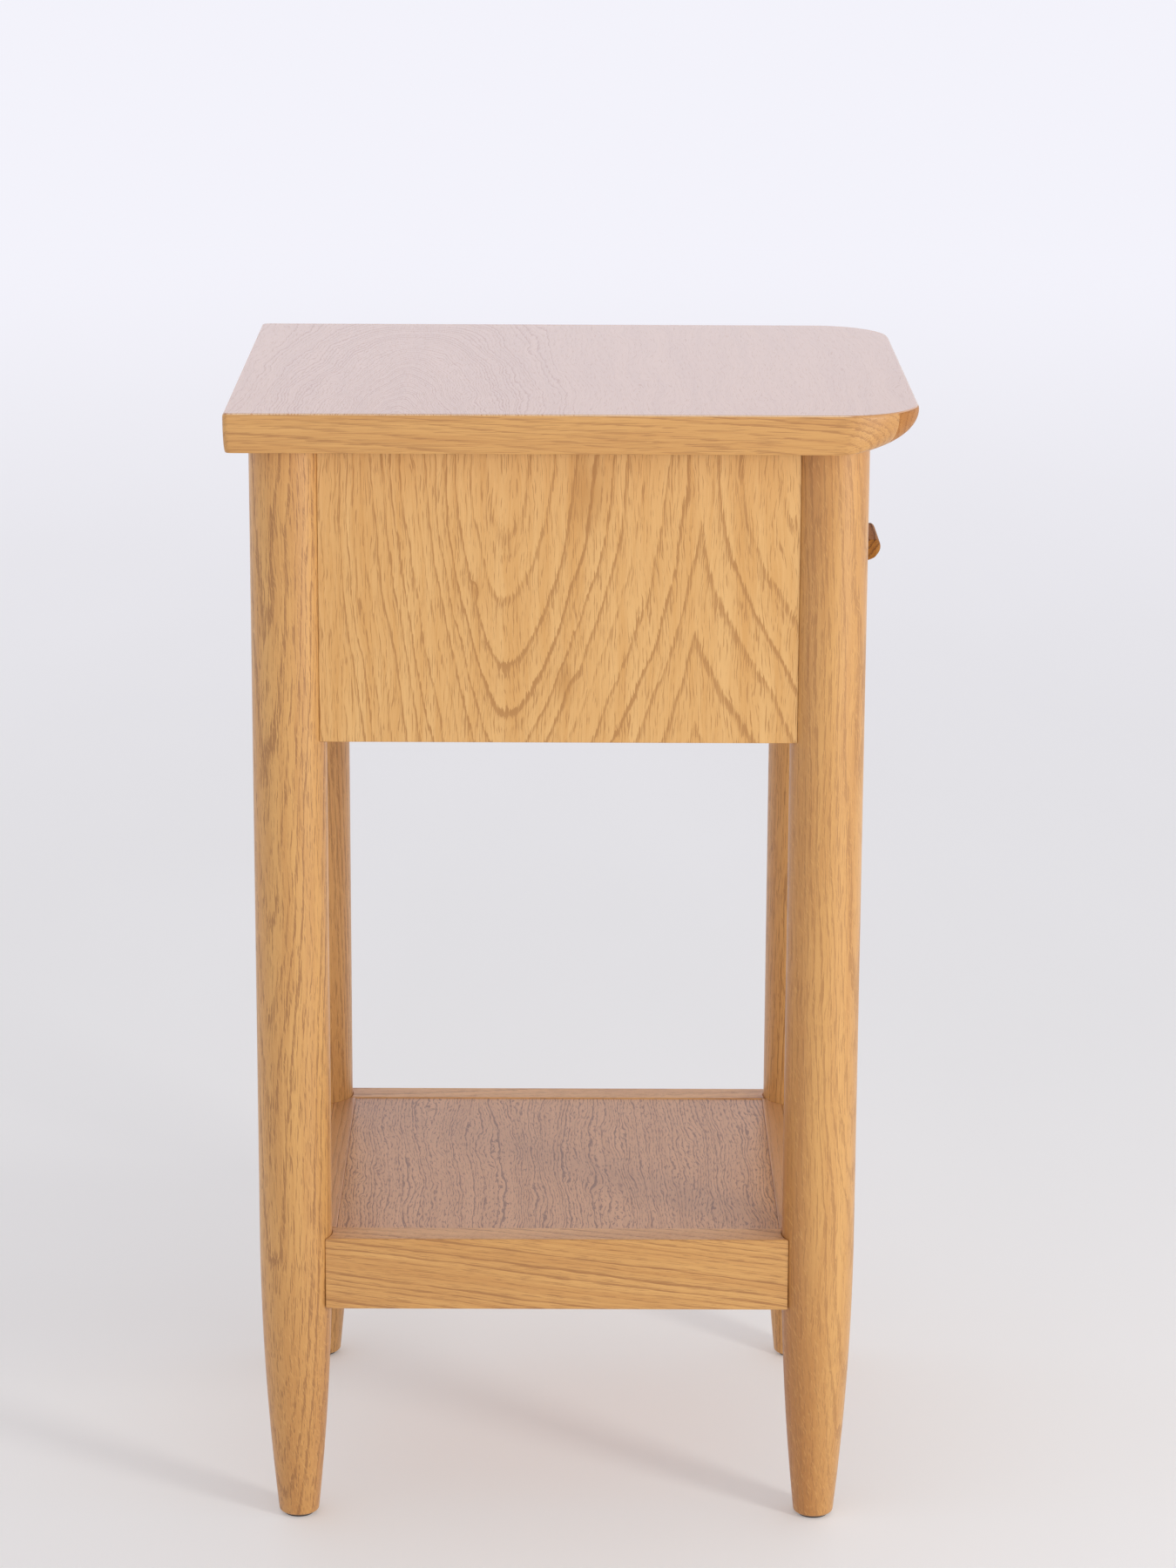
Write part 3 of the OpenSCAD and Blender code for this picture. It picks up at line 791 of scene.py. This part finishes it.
def make_veneer():
    """The top's face, with a painted highlight: a light line along its edges that stands in for light caught on
    the arris.
    """
    bm = whole_top()
    cut(bm, (0, 0, cad_high.z - VENEER_T), (0, 0, -1))
    half_width, half_depth = round(cad_high.x / MM), round(cad_high.y / MM)
    edges = (
        ((-1, 0, 0), half_width),
        ((1, 0, 0), half_width),
        ((0, 1, 0), half_depth),
        ((0, -1, 0), half_depth),
    )
    # The shifts to the light edge tone paint a highlight along each edge of the top.
    veneer = oak(
        "oak_top_veneer", "X", "Y", (86, 600, 100), depth=20, slope=-0.55, steepen=32, ring=3.1,
        wander=13, calm=50, ring_strength=0.8, pore_strength=0.3, relief=0.08,
        shifts=[(direction, edge - 0.8, edge - 0.5, 0.8, PAINTED_EDGE_HIGHLIGHT) for direction, edge in edges],
        tones=TOP_TONES, finish=POLISHED, roughness=0.35,
    )
    crisp(finish_piece("top_veneer_laid", bm, veneer, "carcass", ["top_veneer"]))


# ---- Legs and glides ----

LEGS = ("leg_front_left", "leg_front_right", "leg_back_left", "leg_back_right")


def leg_circle(node):
    """Centre and radius of a leg in plan."""
    low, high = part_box(node)
    return ((low.x + high.x) / 2, (low.y + high.y) / 2), (high.x - low.x) / 2


def leg_profile(radius, low, high):
    """A leg's outline from the foot up: a small round at the floor, a parabola, then a straight length."""
    start = low + FOOT_EDGE

    def taper(z):
        return radius - (radius - FOOT_R) * (1 - z / TAPER_H) ** 2

    foot = [
        (taper(start) - FOOT_EDGE * (1 - math.sin(a)), start - FOOT_EDGE * math.cos(a))
        for a in spread(0, math.pi / 2, FOOT_STEPS)[:-1]
    ]
    curve = [(taper(z), z) for z in spread(start, TAPER_H, TAPER_STEPS)]
    straight = [(radius, z) for z in spread(TAPER_H, high - LEG_TOP_EDGE, SHAFT_STEPS)[1:]]
    return foot + curve + straight + [(radius, high)]


def make_legs():
    hearts = {
        "leg_front_left": (-260, -150, 300),
        "leg_front_right": (-105, 150, 250),
        "leg_back_left": (190, -150, 280),
        "leg_back_right": (120, 160, 320),
    }
    # Painted shade: the front left leg turns darker on its flank away from the key light, towards its foot and
    # just under the top, and the back left leg towards its foot.
    shifts = {
        "leg_front_left": [
            ((0, 1, 0), -136, -112, 0.3, HEARTWOOD_AND_PAINTED_SHADE),
            ((0, 1, -0.12), -158, -124, 0.65, HEARTWOOD_AND_PAINTED_SHADE),
            ((0, 0, 1), 450, 580, 0.2, HEARTWOOD_AND_PAINTED_SHADE),
        ],
        "leg_back_left": [((0, 0.5, -1), -150, 40, 0.35, HEARTWOOD_AND_PAINTED_SHADE)],
    }
    pores = {"leg_front_left": 0.42, "leg_back_left": 0.7}
    for node in LEGS:
        centre, radius = leg_circle(node)
        low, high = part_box(node)
        bm = bmesh.new()
        add_lathe(bm, leg_profile(radius, low.z, high.z), centre, LEG_SEGMENTS)
        wood = oak(
            "oak_" + node, "Z", "Y", hearts[node], depth=30, slope=0.045, ring=3.4, wander=6,
            ring_strength=0.14, pore_width=0.6, pore_strength=pores.get(node, 0.6), rays=0.45,
            shifts=shifts.get(node, ()),
        )
        crisp(finish_piece(node + "_turned", bm, wood, "carcass", [node]))


def make_glides():
    low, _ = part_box("foot_glides")
    bm = bmesh.new()
    floor_edge = [
        (GLIDE_R - GLIDE_EDGE * (1 - math.sin(a)), low.z + GLIDE_EDGE * (1 - math.cos(a)))
        for a in spread(0, math.pi / 2, GLIDE_STEPS)
    ]
    for node in LEGS:
        centre, _ = leg_circle(node)
        add_lathe(bm, floor_edge + [(GLIDE_R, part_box(node)[0].z)], centre, GLIDE_SEGMENTS)
    plastic = moulded_plastic("glide_plastic_black")
    crisp(finish_piece("foot_glides_moulded", bm, plastic, "carcass", ["foot_glides"]))


# ---- Boards ----

def board(node, outline, wood, arris, body="carcass"):
    """A board with its outline in plan, coped round every leg that it meets."""
    low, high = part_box(node)
    if body == "carcass":
        for leg in LEGS:
            centre, radius = leg_circle(leg)
            outline = cope_if_met(outline, centre, radius + COPE_GAP)
    bm = prism(outline, "Z", low.z, high.z)
    soften(finish_piece(node + "_board", bm, wood, body, [node]), arris)


def plan(node):
    """The outline of a node's box in plan."""
    low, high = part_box(node)
    return rectangle(low.x, high.x, low.y, high.y)


def cope_if_met(outline, centre, radius):
    met = any((Vector(p) - Vector(centre)).length < radius for p in outline)
    return cope(outline, centre, radius) if met else outline


def make_case():
    (leg_x, front_y), _ = leg_circle("leg_front_right")
    (_, back_y), _ = leg_circle("leg_back_right")
    woods = {
        "left": oak(
            "oak_side_left", "Z", "Y", (34, -126, 444), depth=6, slope=0.33, ring=8.5, apart=0.75, ridge=97,
            after=0.6, skew=0.004, steepen=100, until=100, wander=8, ragged=1.6,
            ring_strength=0.5, pore_strength=0.7, pore_width=0.6, pore_length=15,
            knots=[(49, 506, 4, 0.4), (-7, 556, 15, 0.1), (4, 458, 8, 0.2)], tones=PANEL_TONES,
        ),
        "right": oak(
            "oak_side_right", "Z", "Y", (-30, 126, 470), depth=-12, slope=0.28, ring=8, ridge=75,
            steepen=55, wander=6, ring_strength=0.5, pore_width=0.5, tones=PANEL_TONES,
        ),
    }
    for side, wood in woods.items():
        node = "side_panel_" + side
        low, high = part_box(node)
        board(node, rectangle(low.x, high.x, front_y, back_y), wood, PANEL_ARRIS)

    low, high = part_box("back_panel")
    wood = oak(
        "oak_back", "Z", "X", (-20, 155.5, 430), depth=-14, slope=0.26, ring=8, ridge=80,
        steepen=60, wander=6, ring_strength=0.5, pore_width=0.5, tones=PANEL_TONES,
    )
    board("back_panel", rectangle(-leg_x, leg_x, low.y, high.y), wood, PANEL_ARRIS)


def make_shelf():
    (leg_x, front_y), _ = leg_circle("leg_front_right")
    (_, back_y), _ = leg_circle("leg_back_right")
    for side, face, lean in (("left", -126, -0.11), ("right", 126, 0.06)):
        node = "shelf_rail_" + side
        low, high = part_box(node)
        wood = oak(
            "oak_" + node, "Y", "Z", (60, face, 0), depth=40, slope=0.02, ring=3.2,
            lean=lean, wander=3, ring_strength=0.5, pore_strength=0.6,
        )
        board(node, rectangle(low.x, high.x, front_y, back_y), wood, RAIL_ARRIS)
    for end, face in (("front", -141.5), ("back", 155.5)):
        node = "shelf_rail_" + end
        low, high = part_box(node)
        wood = oak(
            "oak_" + node, "X", "Z", (70, face, 0), depth=40, slope=0.03, ring=3.6,
            lean=0.04, wander=2.5, ring_strength=0.4,
        )
        board(node, rectangle(-leg_x, leg_x, low.y, high.y), wood, RAIL_ARRIS)
        node = "shelf_lipping_" + end
        wood = oak(
            "oak_" + node, "X", "Y", (300, 158.5, 0), depth=60, slope=0.01, ring=3, wander=2,
            ring_strength=0.2, pore_strength=0.3, tones=SHELF_TONES, finish=WAXED,
        )
        board(node, plan(node), wood, SHELF_ARRIS)

    low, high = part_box("shelf_panel")
    wood = oak(
        "oak_shelf_panel", "X", "Y", (300, 158, 0), depth=8, slope=0.02, ring=2, lean=-0.04, wander=12,
        ragged=1, ring_strength=0.5, pore_strength=0.8, pore_width=0.7, pore_length=6,
        tones=SHELF_TONES, finish=WAXED, roughness=0.5,
    )
    outline = rectangle(low.x + SHELF_TONGUE, high.x - SHELF_TONGUE, low.y, high.y)
    board("shelf_panel", outline, wood, SHELF_ARRIS)


def make_inner_frame():
    """The beech rails, runners, guides, kickers and stops inside the case."""
    along_x = plain_wood("beech_along_x", "X", BEECH_TONES)
    along_y = plain_wood("beech_along_y", "Y", BEECH_TONES)
    for node in ("front_top_rail", "front_bottom_rail"):
        board(node, plan(node), along_x, BEECH_ARRIS)
    for kind in ("runner", "guide", "kicker"):
        for side in ("left", "right"):
            node = f"drawer_{kind}_{side}"
            board(node, plan(node), along_y, BEECH_ARRIS)
    low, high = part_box("drawer_stops")
    bm = prism(rectangle(high.x - STOP_W, high.x, low.y, high.y), "Z", low.z, high.z)
    add_prism(bm, rectangle(low.x, low.x + STOP_W, low.y, high.y), "Z", low.z, high.z)
    stops = finish_piece("drawer_stops_blocks", bm, along_y, "carcass", ["drawer_stops"])
    soften(stops, BEECH_ARRIS)


# ---- Drawer ----

def tail_outlines(grow):
    """The dovetails of a drawer side in (y, z), each grown by a gap for its socket."""
    low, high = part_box("drawer_side_right")
    pitch = (high.z - low.z) / TAILS
    back_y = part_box("drawer_front")[1].y
    tip_y = back_y - TAIL_DEPTH
    outlines = []
    for i in range(TAILS):
        z = low.z + (i + 0.5) * pitch
        root, tip = TAIL_ROOT / 2 + grow, TAIL_TIP / 2 + grow
        lower = [(tip_y - grow, z - tip), (back_y, z - root)]
        upper = [(back_y, z + root), (tip_y - grow, z + tip)]
        outlines.append(lower + upper)
    return outlines


def grown_box(node, grow):
    low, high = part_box(node)
    bm = bmesh.new()
    outline = rectangle(low.x - grow, high.x + grow, low.y - grow, high.y + grow)
    add_prism(bm, outline, "Z", low.z - grow, high.z + grow)
    return bm


def make_drawer_front():
    low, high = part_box("drawer_front")
    side_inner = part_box("drawer_side_right")[0].x - SOCKET_PLAY
    past = 5 * MM
    bm = prism(plan("drawer_front"), "Z", low.z, high.z)
    cutter = grown_box("drawer_bottom", GROOVE_PLAY)
    for outline in tail_outlines(SOCKET_PLAY):
        stretched = [(y + past if y == high.y else y, z) for y, z in outline]
        add_prism(cutter, stretched, "X", side_inner, high.x + past)
        add_prism(cutter, stretched, "X", low.x - past, -side_inner)
    wood = oak(
        "oak_drawer_front", "X", "Z", (495, -141.5, -60), depth=14, slope=0.22, ring=7, ridge=85,
        gather=1 / 120, ring_strength=0.5, pore_width=0.5, tones=PANEL_TONES,
    )
    bm = carve(bm, cutter)
    soften(finish_piece("drawer_front_board", bm, wood, "drawer", ["drawer_front"]), PANEL_ARRIS)


def make_drawer_sides(wood):
    front_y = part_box("drawer_front")[1].y
    for side in ("left", "right"):
        node = "drawer_side_" + side
        low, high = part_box(node)
        outline = [(high.y, low.z), (high.y, high.z), (front_y, high.z)]
        for tail in reversed(tail_outlines(0)):
            outline += [tail[2], tail[3], tail[0], tail[1]]
        outline.append((front_y, low.z))
        bm = carve(prism(outline, "X", low.x, high.x), grown_box("drawer_bottom", GROOVE_PLAY))
        bm = carve(bm, grown_box("drawer_back", GROOVE_PLAY))
        soften(finish_piece(node + "_board", bm, wood, "drawer", [node]), PANEL_ARRIS)


def make_drawer_box():
    along_x = plain_wood("drawer_wood_along_x", "X", DRAWER_TONES, 0.45)
    along_y = plain_wood("drawer_wood_along_y", "Y", DRAWER_TONES, 0.45)
    make_drawer_sides(along_y)
    board("drawer_back", plan("drawer_back"), along_x, DRAWER_BACK_ARRIS, "drawer")
    low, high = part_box("drawer_bottom")
    ply = plywood("birch_plywood", low.z / MM, (high.z - low.z) / MM / PLY_LAYERS)
    board("drawer_bottom", plan("drawer_bottom"), ply, PLY_ARRIS, "drawer")


def make_pull():
    low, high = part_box("drawer_pull")
    bm = bmesh.new()
    add_rings(bm, [
        moulded_ring(
            low, high, step,
            (PULL_END, PULL_END), (PULL_ARRIS, PULL_BEVEL), (0, 0),
            PULL_CORNER_R, PULL_BACK_CORNER_R,
        )
        for step in edge_steps(high.z - low.z, PULL_NOSE, 10, 14)
    ])
    wood = oak(
        "oak_pull", "X", "Z", (480, -160, 0), depth=30, slope=0.02, ring=3,
        tones=PULL_TONES, finish=MATT, roughness=0.6,
    )
    crisp(finish_piece("drawer_pull_shaped", bm, wood, "drawer", ["drawer_pull"]))


# ---- Screws ----

# A screw head's shape: its dome's first angle, and its slots as shares of its radius and thickness.
DOME_START = 0.25
SLOT_HALF_WIDTH = 0.16
SLOT_HALF_LENGTH = 0.62
SLOT_FLOOR = 0.35


def add_screw(bm, cutter, head_r, shank_r, head_t, length, matrix):
    """Adds a screw to bm and its cross slots to cutter, the head's seat at the matrix's origin."""
    rise = spread(DOME_START, math.pi / 2, DOME_STEPS)
    dome = [(head_r * math.sin(a), -head_t * math.cos(a)) for a in rise]
    tip = [(shank_r, 0), (shank_r, length - 2 * shank_r), (0.3 * shank_r, length)]
    first = len(bm.verts)
    add_lathe(bm, dome + tip, (0, 0), SCREW_SEGMENTS)
    bm.verts.ensure_lookup_table()
    bmesh.ops.transform(bm, matrix=matrix, verts=bm.verts[first:])
    slot_w, slot_l = SLOT_HALF_WIDTH * head_r, SLOT_HALF_LENGTH * head_r
    first = len(cutter.verts)
    cross = [
        (slot_w, slot_w), (slot_w, slot_l), (-slot_w, slot_l), (-slot_w, slot_w),
        (-slot_l, slot_w), (-slot_l, -slot_w), (-slot_w, -slot_w), (-slot_w, -slot_l),
        (slot_w, -slot_l), (slot_w, -slot_w), (slot_l, -slot_w), (slot_l, slot_w),
    ]
    add_prism(cutter, cross, "Z", -2 * head_t, -SLOT_FLOOR * head_t)
    cutter.verts.ensure_lookup_table()
    bmesh.ops.transform(cutter, matrix=matrix, verts=cutter.verts[first:])


def make_screws():
    steel = zinc_steel("zinc_plated_steel")
    into_front = Matrix.Rotation(math.radians(90), 4, "X")
    low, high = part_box("pull_screws")
    seat_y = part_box("drawer_front")[1].y
    head_r = PULL_SCREW_HEAD_R
    bm, cutter = bmesh.new(), bmesh.new()
    for x in (low.x + head_r, high.x - head_r):
        place = Matrix.Translation((x, seat_y, (low.z + high.z) / 2)) @ into_front
        add_screw(bm, cutter, head_r, PULL_SCREW_SHANK_R, high.y - seat_y, seat_y - low.y, place)
    finish_piece("pull_screws_crosshead", carve(bm, cutter), steel, "drawer", ["pull_screws"])

    node = "drawer_bottom_screws"
    low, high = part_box(node)
    seat_z = low.z + BOTTOM_SCREW_HEAD_T
    head_r = BOTTOM_SCREW_HEAD_R
    bm, cutter = bmesh.new(), bmesh.new()
    for x in spread(low.x + head_r, high.x - head_r, 2):
        place = Matrix.Translation((x, (low.y + high.y) / 2, seat_z))
        add_screw(bm, cutter, head_r, BOTTOM_SCREW_SHANK_R, BOTTOM_SCREW_HEAD_T, high.z - seat_z, place)
    finish_piece(node + "_crosshead", carve(bm, cutter), steel, "drawer", [node])
    dress("top_screws", steel)
    dress("runner_screws", steel)


def dress(node, material):
    """Gives a CAD node that stays in place its finish."""
    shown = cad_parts[node]
    shown.data.materials.clear()
    shown.data.materials.append(material)


def make_hidden_parts():
    dress("top_core", plain_wood("core_board_wood", "Y", CORE_TONES, 0.7))
    dress("leg_dowels", plain_wood("beech_along_z", "Z", BEECH_TONES))


# ---- Studio ----

FLOOR_RADIUS = 14
KEY_PLACE = (-1.3, -1.5, 0.76)
KEY_TARGET = (0, 0, 0.4)
KEY_SIZE = 0.35
KEY_POWER = 13.6
KEY_TINT = (1, 0.98, 0.95)

# Each change of the world's light: (from, to) as the direction's height, and the light it turns to.
WORLD_STEPS = ((-0.02, 0, BACKDROP), (0.05, 0.2, WALL), (0.5, 0.75, CEILING))


def make_floor():
    bm = bmesh.new()
    bmesh.ops.create_circle(bm, cap_ends=True, radius=FLOOR_RADIUS, segments=FLOOR_SEGMENTS)
    mesh = bpy.data.meshes.new("studio_floor")
    bm.to_mesh(mesh)
    bm.free()
    mesh.materials.append(studio_floor("floor_paper"))
    floor = bpy.data.objects.new("studio_floor", mesh)
    bpy.context.scene.collection.objects.link(floor)


def make_key_light():
    """A small softbox in front of the table and to its left, near its own height."""
    data = bpy.data.lights.new("key_softbox", "AREA")
    data.shape = "SQUARE"
    data.size = KEY_SIZE
    data.energy = KEY_POWER
    data.color = KEY_TINT
    lamp = bpy.data.objects.new("key_softbox", data)
    lamp.location = KEY_PLACE
    lamp.rotation_mode = "QUATERNION"
    lamp.rotation_quaternion = (Vector(KEY_TARGET) - Vector(KEY_PLACE)).to_track_quat("-Z", "Y")
    bpy.context.scene.collection.objects.link(lamp)


def studio_world():
    """A pale backdrop all round that is brightest a little above the horizon, under a dim ceiling."""
    world = bpy.data.worlds.new("studio_backdrop")
    world.use_nodes = True
    nodes, links = world.node_tree.nodes, world.node_tree.links
    place = nodes.new("ShaderNodeTexCoord")
    parts = nodes.new("ShaderNodeSeparateXYZ")
    links.new(place.outputs["Generated"], parts.inputs[0])
    shade = None
    for low, high, paint in WORLD_STEPS:
        rise = nodes.new("ShaderNodeMapRange")
        rise.interpolation_type = "SMOOTHSTEP"
        rise.inputs["From Min"].default_value = low
        rise.inputs["From Max"].default_value = high
        blend = nodes.new("ShaderNodeMix")
        blend.data_type = "RGBA"
        blend.inputs[6].default_value = BACKDROP
        blend.inputs[7].default_value = paint
        links.new(parts.outputs[2], rise.inputs[0])
        links.new(rise.outputs[0], blend.inputs[0])
        if shade:
            links.new(shade, blend.inputs[6])
        shade = blend.outputs[2]
    links.new(shade, nodes["Background"].inputs["Color"])
    return world


def make_camera():
    ahead = Vector((
        math.cos(CAMERA_PITCH) * math.cos(CAMERA_YAW),
        math.cos(CAMERA_PITCH) * math.sin(CAMERA_YAW),
        -math.sin(CAMERA_PITCH),
    ))
    level = Vector((math.sin(CAMERA_YAW), -math.cos(CAMERA_YAW), 0))
    upright = level.cross(ahead)
    right = level * math.cos(CAMERA_ROLL) + upright * math.sin(CAMERA_ROLL)
    up = upright * math.cos(CAMERA_ROLL) - level * math.sin(CAMERA_ROLL)
    data = bpy.data.cameras.new("studio_camera")
    data.lens = CAMERA_LENS
    data.sensor_width = CAMERA_SENSOR
    camera = bpy.data.objects.new("studio_camera", data)
    turn = Matrix((right, up, -ahead)).transposed().to_4x4()
    camera.matrix_world = Matrix.Translation(CAMERA_PLACE) @ turn
    bpy.context.scene.collection.objects.link(camera)
    bpy.context.scene.camera = camera


bpy.context.scene.view_settings.view_transform = "Standard"
bpy.context.scene.world = studio_world()
make_camera()
make_key_light()
make_floor()
make_lippings()
make_veneer()
make_legs()
make_glides()
make_case()
make_shelf()
make_inner_frame()
make_drawer_front()
make_drawer_box()
make_pull()
make_screws()
make_hidden_parts()
